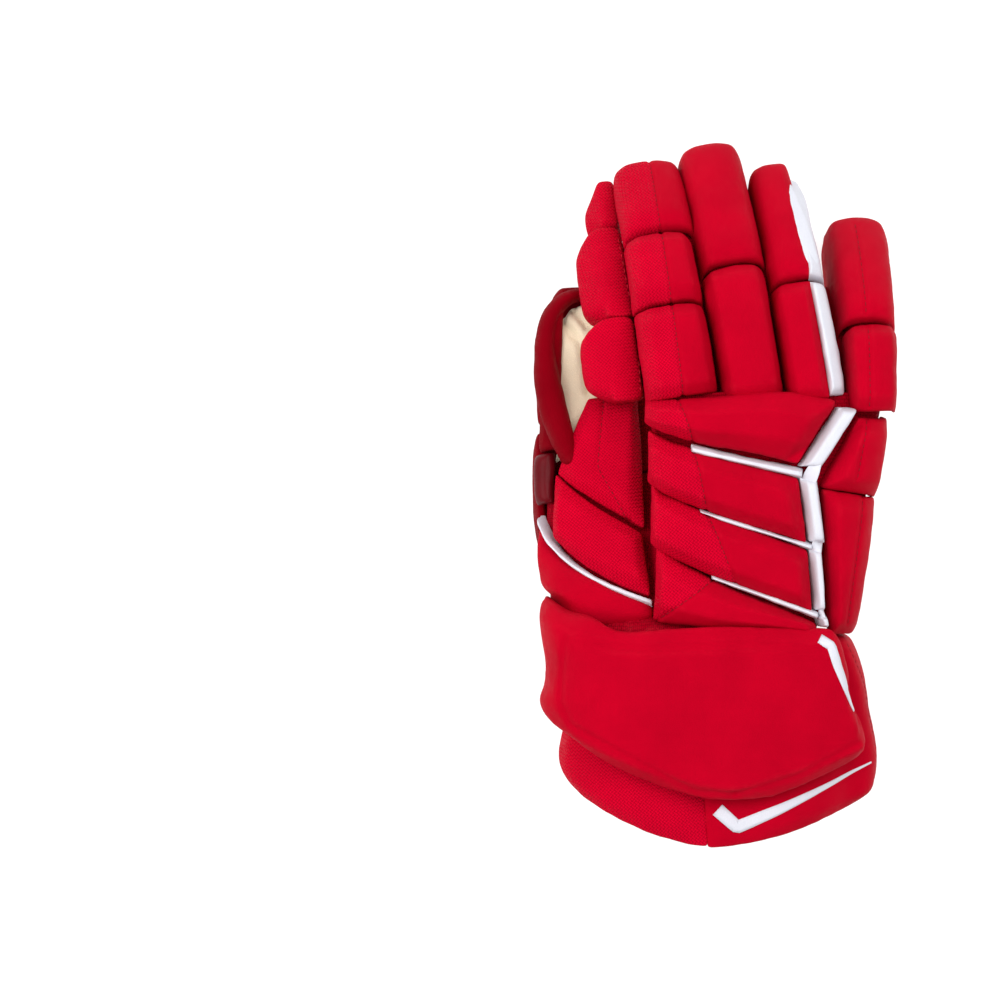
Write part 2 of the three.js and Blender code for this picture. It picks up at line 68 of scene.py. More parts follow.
class Graph:
    """A small helper that adds nodes to a material and links them."""

    def __init__(self, name):
        self.material = bpy.data.materials.new(name)
        self.material.use_nodes = True
        self.tree = self.material.node_tree
        self.tree.nodes.clear()

    def node(self, kind, inputs=None, **settings):
        made = self.tree.nodes.new(kind)
        for key, value in settings.items():
            setattr(made, key, value)
        for key, value in (inputs or {}).items():
            self.put(made.inputs[key], value)
        return made

    def put(self, socket, value):
        if isinstance(value, bpy.types.NodeSocket):
            self.tree.links.new(value, socket)
        else:
            socket.default_value = value

    def math(self, operation, a, b=0.0):
        return self.node("ShaderNodeMath", {0: a, 1: b}, operation=operation).outputs[0]

    def blend(self, share, a, b, mode="MIX"):
        made = self.node("ShaderNodeMix", data_type="RGBA", blend_type=mode)
        self.put(made.inputs[0], share)
        self.put(made.inputs[6], a)
        self.put(made.inputs[7], b)
        return made.outputs[2]

    def ramp(self, value, low, high, to_low=0.0, to_high=1.0):
        """A value mapped from one range to another, held at the ends."""
        inputs = {0: value, 1: low, 2: high, 3: to_low, 4: to_high}
        return self.node("ShaderNodeMapRange", inputs).outputs[0]


def linear(red, green, blue):
    """Linear colour from the photograph's 8-bit values."""
    def channel(value):
        share = value / 255.0
        return share / 12.92 if share <= 0.04045 else ((share + 0.055) / 1.055) ** 2.4
    return (channel(red), channel(green), channel(blue), 1.0)


def cloth_height(g, period, stretch=1.0, turn=0.0):
    """Height of a plain weave with threads period metres apart, over and under by turns."""
    uv = g.node("ShaderNodeUVMap", uv_map="cloth").outputs[0]
    turned = g.node("ShaderNodeVectorRotate", {"Vector": uv, "Angle": turn}, rotation_type="Z_AXIS")
    scale = (1 / period, stretch / period, 0)
    scaled = g.node("ShaderNodeVectorMath", {0: turned.outputs[0], 1: scale}, operation="MULTIPLY")
    parts = g.node("ShaderNodeSeparateXYZ", {0: scaled.outputs[0]})
    threads = []
    for k in (0, 1):
        turn_of_thread = g.math("MULTIPLY", parts.outputs[k], math.pi)
        threads.append(g.math("ABSOLUTE", g.math("SINE", turn_of_thread)))
    turns = g.node("ShaderNodeTexChecker", {"Vector": scaled.outputs[0], "Scale": 1.0}).outputs["Fac"]
    first = g.math("MULTIPLY", threads[0], turns)
    second = g.math("MULTIPLY", threads[1], g.math("SUBTRACT", 1.0, turns))
    return g.math("ADD", first, second)


def noise_value(g, scale, detail=3.0):
    place = g.node("ShaderNodeTexCoord").outputs["Object"]
    inputs = {"Vector": place, "Scale": scale, "Detail": detail, "Roughness": 0.55}
    return g.node("ShaderNodeTexNoise", inputs).outputs["Fac"]


# How many of each unevenness there are to a metre of cloth or leather.
MOTTLE_SCALE = 45.0
RUB_SCALE = 260.0
SHINE_SCALE = 120.0
FUZZ_SCALE = 1400.0
RUBBED_FROM, RUBBED_FULL = 0.51, 0.58  # the sharpness of an edge that is rubbed a little, and wholly


def worn(g, colour, shade, mottle, wear):
    """The base colour with dark thread gaps, broad mottling and paler rubbed edges."""
    broad = g.ramp(noise_value(g, MOTTLE_SCALE), 0.3, 0.7, 1 - mottle, 1.0)
    level = g.math("MULTIPLY", shade, broad)
    grey = g.node("ShaderNodeCombineColor", {0: level, 1: level, 2: level}).outputs[0]
    tinted = g.blend(1.0, colour, grey, "MULTIPLY")
    sharpness = g.node("ShaderNodeNewGeometry").outputs["Pointiness"]
    edge = g.ramp(sharpness, RUBBED_FROM, RUBBED_FULL, 0.0, wear)
    rubbed = g.math("MULTIPLY", edge, g.ramp(noise_value(g, RUB_SCALE), 0.4, 0.65))
    pale = tuple(min(1.0, c * 1.25 + 0.02) for c in colour[:3]) + (1.0,)
    return g.blend(rubbed, tinted, pale)


def finish_shader(g, colour, height, depth, roughness, tint=(1, 1, 1, 1), sheen=0.0, coat=0.0, specular=0.3):
    """The surface itself: relief of a depth in metres, uneven shine, and a tinted fuzz."""
    bump = g.node("ShaderNodeBump", {"Strength": 1.0, "Distance": depth, "Height": height})
    rough = g.ramp(noise_value(g, SHINE_SCALE), 0.3, 0.7, roughness - 0.06, roughness + 0.06)
    shader = g.node("ShaderNodeBsdfPrincipled", {
        "Base Color": colour,
        "Roughness": rough,
        "Specular IOR Level": specular,
        "Specular Tint": tint,
        "Sheen Weight": sheen,
        "Sheen Roughness": 0.4,
        "Sheen Tint": tint,
        "Coat Weight": coat,
        "Coat Roughness": 0.15,
        "Normal": bump.outputs[0],
    })
    g.node("ShaderNodeOutputMaterial", {"Surface": shader.outputs[0]})
    return g.material


CLOTH_MOTTLE = 0.12       # how much darker the darkest patches of cloth are
CLOTH_WEAR = 0.35         # how far the edges of cloth are rubbed pale


def woven(name, colour, period, depth, gap, roughness, sheen, stretch=1.0, turn=0.0):
    """Cloth of crossed threads: darker between them, fuzzy, broadly mottled and rubbed at its edges."""
    g = Graph(name)
    height = cloth_height(g, period, stretch, turn)
    fuzz = g.math("MULTIPLY", noise_value(g, FUZZ_SCALE, 2.0), 0.35)
    shade = g.ramp(height, 0.0, 0.8, 1 - gap, 1.0)
    tinted = worn(g, colour, shade, CLOTH_MOTTLE, CLOTH_WEAR)
    relief = g.math("ADD", height, fuzz)
    return finish_shader(g, tinted, relief, depth, roughness, colour, sheen, specular=0.12)


def leather(name, colour, grain, depth, roughness, mottle, wear, coat=0.0, sheen=0.0, specular=0.3):
    """Leather or coated cloth with a fine cell grain."""
    g = Graph(name)
    place = g.node("ShaderNodeTexCoord").outputs["Object"]
    cells = g.node("ShaderNodeTexVoronoi", {"Vector": place, "Scale": grain}, feature="DISTANCE_TO_EDGE")
    pores = g.ramp(cells.outputs["Distance"], 0.0, 0.3)
    fine = g.math("MULTIPLY", noise_value(g, grain * 2.5, 4.0), 0.5)
    shade = g.ramp(pores, 0.0, 1.0, 0.93, 1.0)
    tinted = worn(g, colour, shade, mottle, wear)
    height = g.math("ADD", pores, fine)
    return finish_shader(g, tinted, height, depth, roughness, sheen=sheen, coat=coat, specular=specular)


def star_lining(name, colour, line_colour):
    """Black lining with an embossed net of triangles."""
    g = Graph(name)
    uv = g.node("ShaderNodeUVMap", uv_map="cloth").outputs[0]
    spacing = 9 * MM
    nearest = None
    for turn in (0, 60, 120):
        direction = (math.cos(math.radians(turn)) / spacing, math.sin(math.radians(turn)) / spacing, 0)
        projected = g.node("ShaderNodeVectorMath", {0: uv, 1: direction}, operation="DOT_PRODUCT")
        along = projected.outputs["Value"]
        line = g.math("ABSOLUTE", g.math("SINE", g.math("MULTIPLY", along, math.pi)))
        nearest = line if nearest is None else g.math("MINIMUM", nearest, line)
    raised = g.ramp(nearest, 0.1, 0.3)
    weave = cloth_height(g, 0.9 * MM)
    shade = g.blend(raised, line_colour, colour)
    height = g.math("ADD", g.math("MULTIPLY", raised, 2.0), g.math("MULTIPLY", weave, 0.3))
    return finish_shader(g, shade, height, 0.5 * MM, 0.75, sheen=0.2)


RED = linear(188, 2, 33)
RED_MESH = linear(205, 3, 40)
# A darker copy of the red cloth: painted shade for the thumb's guards and rolled border, which face away
# from the key lamp.
RED_PAINTED_SHADE = linear(130, 2, 18)
RED_KNIT = linear(165, 1, 27)
RED_GLOSS = linear(105, 1, 16)
WHITE = linear(214, 215, 224)
CREAM = linear(255, 240, 208)
BLACK = linear(34, 34, 36)
LINING = linear(26, 26, 30)
LINING_LINES = linear(74, 80, 96)

SMOOTH_WEAVE = {"period": 0.55 * MM, "depth": 0.08 * MM, "gap": 0.2, "roughness": 0.7, "sheen": 0.1}
COARSE_WEAVE = {"period": 1.3 * MM, "depth": 0.3 * MM, "gap": 0.36, "roughness": 0.72, "sheen": 0.1}
COARSE_TURN = math.radians(38)  # between the threads of the coarse weave and the glove's length
KNIT = {"period": 1.0 * MM, "depth": 0.3 * MM, "gap": 0.45, "roughness": 0.85, "sheen": 0.15}
KNIT_STRETCH = 0.5
COATED = {"grain": 1500.0, "depth": 0.04 * MM, "roughness": 0.4, "mottle": 0.3, "wear": 0.0}
PANEL = {"grain": 1200.0, "depth": 0.05 * MM, "roughness": 0.5, "mottle": 0.05, "wear": 0.0}
SUEDE = {"grain": 900.0, "depth": 0.12 * MM, "roughness": 0.85, "mottle": 0.12, "wear": 0.3}
GRIP = {"grain": 700.0, "depth": 0.15 * MM, "roughness": 0.6, "mottle": 0.2, "wear": 0.4}
THREAD = {"grain": 2500.0, "depth": 0.05 * MM, "roughness": 0.7, "mottle": 0.05, "wear": 0.0}

LOOKS = {
    "red_smooth": woven("red_smooth", RED, **SMOOTH_WEAVE),
    "red_mesh": woven("red_mesh", RED_MESH, **COARSE_WEAVE, turn=COARSE_TURN),
    "red_knit": woven("red_knit", RED_KNIT, **KNIT, stretch=KNIT_STRETCH),
    "red_gloss": leather("red_gloss", RED_GLOSS, **COATED, coat=0.05, specular=0.08),
    "white_panel": leather("white_panel", WHITE, **PANEL),
    "cream_leather": leather("cream_leather", CREAM, **SUEDE, sheen=0.2),
    "grip_black": leather("grip_black", BLACK, **GRIP),
    "liner_black": star_lining("liner_black", LINING, LINING_LINES),
}
THREAD_WHITE = leather("thread_white", linear(240, 240, 240), **THREAD)
THREAD_RED = leather("thread_red", linear(196, 8, 36), **THREAD)
THREAD_DARK = leather("thread_dark", linear(120, 2, 20), **THREAD)
# The thumb's guard cloth is the red cloth darkened as painted shade.
GUARD_CLOTH_PAINTED_SHADE = woven("guard_cloth_painted_shade", RED_PAINTED_SHADE, **SMOOTH_WEAVE)
SLOT_OF = {row["node"]: row["material_slot"] for row in frame["record"]["subparts"]}

# Meshes


def values_of(rows, key, kind="f", width=3):
    """One value of every vertex, face or corner of a mesh, as an array."""
    values = np.empty(len(rows) * width, kind)
    rows.foreach_get(key, values)
    return values.reshape(-1, width) if width > 1 else values


def map_cloth(mesh):
    """A cloth map in metres, projected along each face's main direction."""
    layer = mesh.uv_layers.new(name="cloth")
    main = np.abs(values_of(mesh.polygons, "normal")).argmax(1)
    main = np.repeat(main, values_of(mesh.polygons, "loop_total", "i", 1))
    at = values_of(mesh.vertices, "co")[values_of(mesh.loops, "vertex_index", "i", 1)]
    first = np.where(main == 0, at[:, 1], at[:, 0])
    second = np.where(main == 2, at[:, 1], at[:, 2])
    layer.data.foreach_set("uv", np.stack([first, second], 1).ravel())


def bake_modifiers(obj):
    graph = bpy.context.evaluated_depsgraph_get()
    mesh = bpy.data.meshes.new_from_object(obj.evaluated_get(graph))
    obj.modifiers.clear()
    old = obj.data
    obj.data = mesh
    bpy.data.meshes.remove(old)


def subdivide(obj, levels):
    rounding = obj.modifiers.new("rounding", "SUBSURF")
    rounding.levels = levels
    bake_modifiers(obj)


def object_with(name, mesh):
    obj = bpy.data.objects.new(name, mesh)
    bpy.context.collection.objects.link(obj)
    return obj


WELD = 0.01 * MM          # corners closer than this are one
SHARP = math.radians(24)  # edges that turn more than this are creased
QUAD_TURN = math.radians(60)
QUAD_SHAPE = math.radians(75)


def copy_of(node, name, crease=0.0):
    """The node's surface as quads where its triangles pair up, with creases on its sharp edges."""
    bm = bmesh.new()
    bm.from_mesh(frame["nodes"][node].data)
    bmesh.ops.remove_doubles(bm, verts=bm.verts, dist=WELD)
    bmesh.ops.join_triangles(
        bm, faces=bm.faces, angle_face_threshold=QUAD_TURN, angle_shape_threshold=QUAD_SHAPE
    )
    layer = bm.edges.layers.float.new("crease_edge")
    for edge in bm.edges:
        if edge.is_manifold and edge.calc_face_angle() > SHARP:
            edge[layer] = crease
    mesh = bpy.data.meshes.new(name)
    bm.to_mesh(mesh)
    bm.free()
    return object_with(name, mesh)


def smooth(obj):
    obj.data.polygons.foreach_set("use_smooth", [True] * len(obj.data.polygons))


def dress(obj, slot, node=None):
    """Gives a piece its material and its body, and hides the solid it takes the place of."""
    obj.data.materials.clear()
    obj.data.materials.append(LOOKS[slot])
    if "cloth" not in obj.data.uv_layers:
        map_cloth(obj.data)
    smooth(obj)
    if node:
        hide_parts(node)
    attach(obj, "root")
    return obj


BULGE_SIZE = 0.022        # the size of one bulge of the padding, in metres
WRINKLE_SIZE = 0.006      # the size of one small wrinkle, in metres
SIDE_WRINKLES = 1.2       # how much more upright sides wrinkle
BULGE_SHIFT = Vector((3.1, 1.7, 5.3))  # keeps bulges and wrinkles from lining up
SOFT_LOWEST = 0.0002      # soft pieces stay this far above the floor, in metres


def ruffle(obj, broad, fine):
    """Uneven padding and small wrinkles, pushed along the surface's own normals. Sides wrinkle more."""
    mesh = obj.data
    places = values_of(mesh.vertices, "co")
    normals = values_of(mesh.vertex_normals, "vector")
    vectors = [Vector(place) for place in places.tolist()]
    big = np.array([noise.noise(place / BULGE_SIZE + BULGE_SHIFT) for place in vectors])
    small = np.array([noise.noise(place / WRINKLE_SIZE) for place in vectors])
    side = 1.0 + SIDE_WRINKLES * (1.0 - np.abs(normals[:, 2]))
    moved = places + normals * (broad * big + fine * small * side)[:, None]
    moved[:, 2] = np.maximum(moved[:, 2], SOFT_LOWEST)
    mesh.vertices.foreach_set("co", moved.ravel())
    mesh.update()


def soft_pad(node, crease, broad=0.45 * MM, fine=0.14 * MM):
    """A foam pad: the node's surface with rounded edges and a slightly uneven skin."""
    obj = copy_of(node, "soft_" + node, crease)
    subdivide(obj, 3)
    ruffle(obj, broad, fine)
    return obj


def soft_shell(node, voxel, broad=0.3 * MM, fine=0.15 * MM):
    """A hollow shell of cloth, remade in even cells so that it can wrinkle."""
    obj = copy_of(node, "soft_" + node)
    remesh = obj.modifiers.new("remesh", "REMESH")
    remesh.mode = "VOXEL"
    remesh.voxel_size = voxel
    calm = obj.modifiers.new("calm", "SMOOTH")
    calm.factor = 0.5
    calm.iterations = 3
    bake_modifiers(obj)
    ruffle(obj, broad, fine)
    return obj


SEAM_WIDTH = 1.4 * MM
SEAM_DEPTH = 0.8 * MM
SAME_PLACE = 0.05 * MM    # a corner this close to a cut is moved onto it


def seam(obj, start, end, cloth):
    """A sewn seam across a pad along a line of its plan, with another cloth on the thumb's side."""
    along = (end - start).normalized()
    out = Vector((along.y, -along.x, 0.0))
    bm = bmesh.new()
    bm.from_mesh(obj.data)
    for shift in (-SEAM_WIDTH, 0.0, SEAM_WIDTH):
        everything = list(bm.verts) + list(bm.edges) + list(bm.faces)
        cut = start + out * shift
        bmesh.ops.bisect_plane(bm, geom=everything, plane_co=cut, plane_no=out, dist=SAME_PLACE)
    bm.normal_update()
    for vertex in bm.verts:
        away = (vertex.co - start).dot(out)
        vertex.co -= vertex.normal * SEAM_DEPTH * math.exp(-((away / SEAM_WIDTH) ** 2) * 2)
    for face in bm.faces:
        if (face.calc_center_median() - start).dot(out) > 0:
            face.material_index = cloth
    bm.to_mesh(obj.data)
    bm.free()


def groove(obj, path, width, depth):
    """A sewn line pressed into the top of a piece along a path of its plan."""
    mesh = obj.data
    places = values_of(mesh.vertices, "co")
    normals = values_of(mesh.vertex_normals, "vector")
    nearest = np.full(len(places), 1.0)
    for a, b in zip(path, path[1:]):
        span = np.array((b - a)[:2])
        offset = places[:, :2] - np.array(a[:2])
        share = np.clip(offset @ span / max(span @ span, 1e-12), 0, 1)
        nearest = np.minimum(nearest, np.linalg.norm(offset - share[:, None] * span, axis=1))
    faces_up = normals[:, 2] > 0.1
    press = depth * np.exp(-((nearest / width) ** 2) * 2) * faces_up
    mesh.vertices.foreach_set("co", (places - normals * press[:, None]).ravel())
    mesh.update()


# Pads and shells in place of the plain solids

FINGERS = ("index", "middle", "ring", "little")
# How finely each hollow shell is remade, in metres.
SHELLS = {
    "hand_body": 1.5 * MM,
    "cuff_liner": 1.7 * MM,
    "thumb_sleeve": 1.3 * MM,
    **{finger + "_stall": 1.4 * MM for finger in FINGERS},
}
# Leather and cloth without foam keep flat faces and crisp edges.
THIN = {"palm_leather", "palm_grip", "cuff_label", "cuff_tab"} | {finger + "_palm" for finger in FINGERS}
THIN_EDGE = 0.8
# How firmly each piece keeps its edges, where it isn't the usual firmness.
USUAL_EDGE = 0.36
EDGES = {
    "index_side_base": 0.25,
    "index_side_mid": 0.25,
    "index_side_tip": 0.25,
    "cuff_main": 0.4,
    "thumb_side_patch": 0.1,
    "thumb_guard_tip": 0.15,
    "thumb_guard_mid": 0.25,
    "thumb_base_lower": 0.2,
    **{finger + "_tip_pad": 0.22 for finger in FINGERS},
}

# How some pieces grow to their stuffed shape: by how much across and along the glove, and from which
# share of their own box.
GROWN = {
    "index_tip_pad": (1.13, 1.07, 0.1, 0.0),
    "index_mid_pad": (1.03, 1.04, 0.5, 0.5),
    "middle_tip_pad": (1.1, 1.06, 0.35, 0.0),
    "middle_base_pad": (1.03, 1.03, 0.5, 0.5),
    "ring_tip_pad": (1.07, 1.05, 0.2, 0.0),
    "ring_base_pad": (1.04, 1.03, 0.5, 0.5),
    "ring_tip_side": (1.1, 1.0, 1.0, 0.0),
    "ring_base_side": (1.15, 1.0, 0.8, 0.5),
    "little_tip_pad": (1.1, 1.04, 0.8, 0.0),
    "little_base_pad": (1.04, 1.14, 0.5, 1.0),
    "index_side_tip": (1.25, 1.5, 1.0, 0.1),
    "index_side_mid": (1.06, 1.06, 1.0, 0.3),
    "index_side_base": (1.2, 1.08, 1.0, 0.4),
    "back_row_1": (1.02, 1.16, 0.5, 0.1),
    "back_row_2": (1.01, 1.07, 0.5, 0.5),
    "back_row_3": (1.01, 1.07, 0.5, 0.5),
    "back_row_4": (1.02, 1.18, 0.5, 0.4),
    "back_strip_1": (1.18, 1.18, 0.6, 0.5),
    "back_strip_2": (1.18, 1.18, 0.6, 0.5),
    "back_strip_3": (1.12, 1.12, 0.4, 0.5),
    "row_end_1": (1.04, 1.1, 0.5, 0.0),
    "row_end_2": (1.15, 1.04, 0.5, 0.5),
    "row_end_3": (1.15, 1.04, 0.5, 0.5),
    "side_pad_upper": (1.06, 1.14, 0.4, 0.2),
    "side_pad_lower": (1.06, 1.05, 0.3, 0.4),
    "web_pad": (1.06, 1.08, 0.2, 0.0),
    "thumb_base_pad": (1.03, 1.12, 0.5, 0.1),
    "cuff_flap_thumb": (1.05, 1.0, 0.9, 0.0),
    "cuff_flap_little": (1.02, 1.0, 1.0, 0.0),
    "thumb_side_patch": (1.5, 1.15, 0.7, 0.5),
}
# Places of the plan that are drawn to another place, in pixels of the photograph, with the reach in mm.
DRAWN = {
    "cuff_main": [
        ((549, 634), (537, 598), 14), ((552, 714), (536, 708), 13), ((846, 720), (862, 722), 22),
        ((720, 632), (720, 626), 40), ((810, 636), (832, 634), 14), ((818, 672), (834, 672), 14),
        ((586, 634), (588, 622), 11),
    ],
    "cuff_flap_little": [((872, 745), (885, 750), 22), ((862, 680), (872, 680), 20)],
    "cuff_flap_thumb": [((585, 770), (574, 766), 22)],
    "thumb_base_lower": [
        ((540, 622), (550, 606), 12), ((600, 620), (603, 634), 22), ((592, 590), (600, 580), 18),
        ((622, 615), (646, 614), 12),
    ],
    "thumb_guard_mid": [((536, 600), (550, 590), 22)],
    "back_row_1": [((775, 405), (775, 394), 30)],
    "back_row_4": [((715, 622), (715, 628), 26), ((655, 622), (652, 626), 14)],
    "thumb_sleeve": [((560, 470), (575, 440), 14)],
}
# Lines of the plan that a piece ends at, each with the depth over which it is pressed together.
ENDS = {
    "cuff_main": [
        (*spots((560, 735), (695, 808)), 22 * MM),
        (*spots((728, 808), (868, 750)), 12 * MM),
    ],
}
# The ring finger's upper side panel is drawn in beyond this place, by this share of what lies beyond.
RING_SIDE_END = spot(0, 200).y
RING_SIDE_SHARE = 0.35

# Seams between coarse mesh on the thumb side and smooth cloth, each over a line of the photograph.
INDEX_SEAM = spots((653, 163), (680, 404))
SEAMS = {
    "index_tip_pad": INDEX_SEAM,
    "index_mid_pad": INDEX_SEAM,
    "index_base_pad": INDEX_SEAM,
    "back_row_1": spots((676, 407), (688, 443)),
    "back_row_2": spots((688, 443), (702, 513)),
    "back_row_3": spots((702, 513), (723, 566)),
    "back_row_4": spots((717, 575), (654, 622)),
}
# Sewn lines pressed into pads along their chamfers.
GROOVES = {
    "cuff_main": [
        spots((562, 640), (558, 700), (568, 722), (612, 746), (690, 786), (728, 789)),
        spots((728, 789), (790, 770), (852, 738), (852, 715), (829, 652)),
        spots((566, 641), (640, 648), (740, 643), (826, 648)),
    ],
    "cuff_flap_little": [spots((845, 645), (866, 690), (878, 752))],
    "side_pad_upper": [spots((862, 418), (850, 482))],
    "side_pad_lower": [spots((858, 497), (842, 625))],
    "web_pad": [spots((605, 400), (598, 470), (632, 530))],
    "little_tip_pad": [spots((861, 222), (862, 318))],
    "little_base_pad": [spots((863, 322), (862, 412))],
    "thumb_sleeve": [spots((560, 318), (584, 346), (590, 392)), spots((566, 300), (590, 326))],
}
# The usual width and depth of a sewn line.
USUAL_GROOVE = (1.6 * MM, 0.7 * MM)
# Deeper folds, with their width and depth.
FOLDS = {"thumb_sleeve": (3.2 * MM, 2.6 * MM), "cuff_main": (2.2 * MM, 1.1 * MM)}
# Beside the index finger, beyond this line, the thumb is knit where its faces turn up more than this.
SLEEVE_KNIT_FROM = spot(606, 0).x
SLEEVE_KNIT_TURN = -0.2

pieces = {}


def grow(obj, across, along, from_x, from_y):
    """Stretches a piece across and along the glove, from a share of its own box."""
    xs = [v.co.x for v in obj.data.vertices]
    ys = [v.co.y for v in obj.data.vertices]
    fixed_x = min(xs) + (max(xs) - min(xs)) * from_x
    fixed_y = min(ys) + (max(ys) - min(ys)) * from_y
    for vertex in obj.data.vertices:
        vertex.co.x = fixed_x + (vertex.co.x - fixed_x) * across
        vertex.co.y = fixed_y + (vertex.co.y - fixed_y) * along


def draw(obj, start, end, reach):
    """Moves what lies round one place of the plan towards another."""
    for vertex in obj.data.vertices:
        away = math.hypot(vertex.co.x - start.x, vertex.co.y - start.y) / reach
        vertex.co += (end - start) * math.exp(-(away ** 2))


def end_at(obj, start, end, depth):
    """Presses what lies beyond a line of the plan, on the wrist's side of it, back inside it."""
    along = (end - start).normalized()
    out = Vector((along.y, -along.x, 0.0))
    out = -out if out.y > 0 else out
    beyond = [(v.co - start).dot(out) for v in obj.data.vertices]
    furthest = max(beyond)
    for vertex, away in zip(obj.data.vertices, beyond):
        if away > -depth:
            pressed = -depth + (away + depth) * depth / (furthest + depth)
            vertex.co -= out * (away - pressed)


def shorten(obj, from_y, share):
    """Draws in the end of a piece beyond a place along it."""
    for vertex in obj.data.vertices:
        if vertex.co.y > from_y:
            vertex.co.y -= (vertex.co.y - from_y) * share


def line_sleeve(obj):
    """The thumb is cream leather where the photograph shows it and red knit beside the index finger."""
    obj.data.materials.append(LOOKS["red_knit"])
    for face in obj.data.polygons:
        if face.center.x > SLEEVE_KNIT_FROM and face.normal.z > SLEEVE_KNIT_TURN:
            face.material_index = 1


def make_soft_goods():
    for node, slot in SLOT_OF.items():
        if node == "thumb_sleeve":
            pieces[node] = soft_shell(node, SHELLS[node], broad=0.8 * MM, fine=0.5 * MM)
        elif node in SHELLS:
            pieces[node] = soft_shell(node, SHELLS[node])
        elif node in THIN:
            pieces[node] = soft_pad(node, THIN_EDGE, broad=0.15 * MM, fine=0.1 * MM)
        else:
            pieces[node] = soft_pad(node, EDGES.get(node, USUAL_EDGE))
        if node in GROWN:
            grow(pieces[node], *GROWN[node])
        for line in ENDS.get(node, []):
            end_at(pieces[node], *line)
        for start, end, reach in DRAWN.get(node, []):
            draw(pieces[node], spot(*start), spot(*end), reach * MM)
        if node == "ring_tip_side":
            shorten(pieces[node], RING_SIDE_END, RING_SIDE_SHARE)
        for path in GROOVES.get(node, []):
            groove(pieces[node], path, *FOLDS.get(node, USUAL_GROOVE))
        dress(pieces[node], slot, node)
        if node in SEAMS:
            pieces[node].data.materials.append(LOOKS["red_mesh"])
            seam(pieces[node], *SEAMS[node], cloth=1)
            smooth(pieces[node])
    # Painted shade: the thumb's guards take the darker copy of the red cloth.
    for node in ("thumb_guard_tip", "thumb_guard_mid"):
        pieces[node].data.materials[0] = GUARD_CLOTH_PAINTED_SHADE
    line_sleeve(pieces["thumb_sleeve"])


make_soft_goods()

# Trims and stitches

LOWEST = 0.0008           # trims stay this far above the floor, in metres
RAY_START = 0.3           # higher than any piece, in metres


def surfaces(names):
    """A search tree over the named pieces, for laying trims on them."""
    bm = bmesh.new()
    for name in names:
        bm.from_mesh(pieces[name].data)
    tree = BVHTree.FromBMesh(bm)
    bm.free()
    return tree


def lay(tree, place, lift, above=True):
    """The point of the surface over or under a place of the plan, and its normal."""
    side = 1 if above else -1
    start = Vector((place.x, place.y, RAY_START * side))
    hit, normal, _, _ = tree.ray_cast(start, Vector((0, 0, -side)))
    if hit is None:
        return None
    if normal.z * side < 0:
        normal = -normal
    place = hit + normal * lift
    place.z = max(place.z, LOWEST)
    return place, normal


def resample(points, step):
    """Points about a step apart along a path."""
    lengths = [0.0]
    for a, b in zip(points, points[1:]):
        lengths.append(lengths[-1] + (b - a).length)
    count = max(2, int(lengths[-1] / step))
    out = []
    k = 0
    for i in range(count + 1):
        target = lengths[-1] * i / count
        while k < len(points) - 2 and lengths[k + 1] < target:
            k += 1
        share = (target - lengths[k]) / max(lengths[k + 1] - lengths[k], 1e-9)
        out.append(points[k].lerp(points[k + 1], min(1.0, share)))
    return out


def sheet_faces(bm, tops, bottoms):
    """Closes two grids of corners into a thin solid."""
    last = len(tops[0]) - 1
    for i in range(len(tops) - 1):
        for j in range(last):
            bm.faces.new((tops[i][j], tops[i][j + 1], tops[i + 1][j + 1], tops[i + 1][j]))
            bm.faces.new((bottoms[i][j], bottoms[i + 1][j], bottoms[i + 1][j + 1], bottoms[i][j + 1]))
        for j in (0, last):
            bm.faces.new((tops[i][j], tops[i + 1][j], bottoms[i + 1][j], bottoms[i][j]))
    for i in (0, len(tops) - 1):
        for j in range(last):
            bm.faces.new((tops[i][j], bottoms[i][j], bottoms[i][j + 1], tops[i][j + 1]))


def tube_faces(bm, rings):
    """Closes a row of rings of corners into a solid with flat ends."""
    sides = len(rings[0])
    for first, second in zip(rings, rings[1:]):
        for i in range(sides):
            j = (i + 1) % sides
            bm.faces.new((first[i], first[j], second[j], second[i]))
    bm.faces.new(rings[0][::-1])
    bm.faces.new(rings[-1])


def object_of(name, bm):
    bmesh.ops.recalc_face_normals(bm, faces=bm.faces)
    mesh = bpy.data.meshes.new(name)
    bm.to_mesh(mesh)
    bm.free()
    return object_with(name, mesh)


# Where a strip touches what it lies on, in shares of its width from its middle.
STRIP_SHARES = (-0.5, -0.2, 0.2, 0.5)


def ribbon(name, on, paths, widths, slot="white_panel", thickness=0.5 * MM, above=True, step=1.5 * MM):
    """Thin sewn strips laid on pieces along paths of the plan. Widths in mm run from start to end."""
    tree = surfaces(on)
    bm = bmesh.new()
    for path in paths:
        line = resample(path, step)
        rows = []
        for i, place in enumerate(line):
            ahead = (line[min(i + 1, len(line) - 1)] - line[max(i - 1, 0)]).normalized()
            across = Vector((ahead.y, -ahead.x, 0.0))
            along = i / (len(line) - 1) * (len(widths) - 1)
            k = min(int(along), len(widths) - 2)
            width = (widths[k] + (widths[k + 1] - widths[k]) * (along - k)) * MM
            hits = [lay(tree, place + across * width * share, 0.0, above) for share in STRIP_SHARES]
            if None not in hits:
                rows.append(hits)
        if len(rows) > 1:
            tops = [[bm.verts.new(hit + normal * thickness) for hit, normal in row] for row in rows]
            sunk = [[bm.verts.new(hit - normal * thickness * 0.5) for hit, normal in row] for row in rows]
            sheet_faces(bm, tops, sunk)
    return dress(object_of(name, bm), slot)


THREAD_SIDES = 6
# The rings of one stitch: where each lies in shares of its length, and its thickness.
STITCH_RINGS = ((-0.5, 0.55), (0.0, 1.0), (0.5, 0.55))


